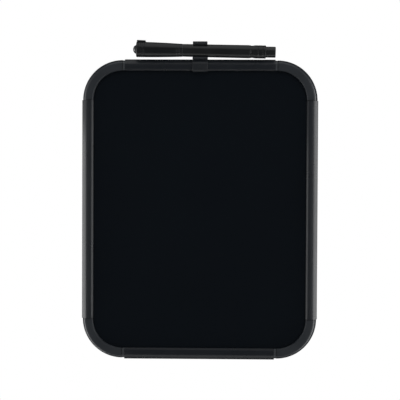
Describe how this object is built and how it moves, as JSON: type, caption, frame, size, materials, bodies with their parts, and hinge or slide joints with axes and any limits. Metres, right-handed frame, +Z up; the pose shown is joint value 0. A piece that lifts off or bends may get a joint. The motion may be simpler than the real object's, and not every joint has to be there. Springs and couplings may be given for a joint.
{
  "type": "magnetic dry-erase board",
  "caption": "Portrait magnetic dry-erase board in a round-cornered frame, with a capped marker in a clip that slides on the top rail.",
  "frame": {"origin": "centre of the upper magnetic strip's rear face, on the steel surface that the board clings to", "axes": "+Z up along the board's longer side, +Y into the steel surface, -Y is the side that is written on, +X to the writer's right"},
  "size_m": [0.22, 0.0163, 0.2976],
  "materials": {
    "black_enamel": "high gloss black enamel on sheet steel",
    "fibreboard": "raw brown hardboard",
    "grey_backing": "matt dark grey balancing paper",
    "black_rail": "satin black extruded plastic with fine lengthwise die lines",
    "black_elbow": "satin black moulded plastic with a fine even texture",
    "magnet_rubber": "matt dark brown-black flexible magnet",
    "foam": "white closed-cell foam tape",
    "black_clip": "satin black moulded plastic",
    "black_barrel": "satin black moulded plastic",
    "black_plug": "gloss black moulded plastic",
    "grey_holder": "grey moulded plastic",
    "nib_fibre": "bonded fibre soaked with black ink",
    "ink_fibre": "fibre soaked with black ink",
    "film": "thin clear to white film",
    "black_cap": "satin black moulded plastic",
    "liner_plastic": "natural white soft plastic",
    "black_button": "gloss black moulded plastic"
  },
  "bodies": {
    "board": {"writing_sheet": "black_enamel", "core_board": "fibreboard", "backing_sheet": "grey_backing", "top_rail": "black_rail", "bottom_rail": "black_rail", "left_rail": "black_rail", "right_rail": "black_rail", "corner_top_left": "black_elbow", "corner_top_right": "black_elbow", "corner_bottom_left": "black_elbow", "corner_bottom_right": "black_elbow", "upper_magnet_strip": "magnet_rubber", "lower_magnet_strip": "magnet_rubber", "upper_foam_tape": "foam", "lower_foam_tape": "foam"},
    "clip": {"marker_clip": "black_clip"},
    "marker": {"marker_barrel": "black_barrel", "barrel_end_plug": "black_plug", "nib_holder": "grey_holder", "nib": "nib_fibre", "ink_reservoir": "ink_fibre", "reservoir_wrap": "film"},
    "cap": {"marker_cap": "black_cap", "cap_liner": "liner_plastic", "cap_end_button": "black_button"}
  },
  "joints": [
    {"name": "clip_slide", "type": "slide", "parent": "board", "child": "clip", "axis": [1, 0, 0], "range_m": [-0.063, 0.063]},
    {"name": "marker_slide", "type": "slide", "parent": "clip", "child": "marker", "axis": [0.9998, 0, -0.0183], "range_m": [-0.08, 0.013]},
    {"name": "cap_pull", "type": "slide", "parent": "marker", "child": "cap", "axis": [-0.9998, 0, 0.0183], "range_m": [0, 0.03]}
  ]
}
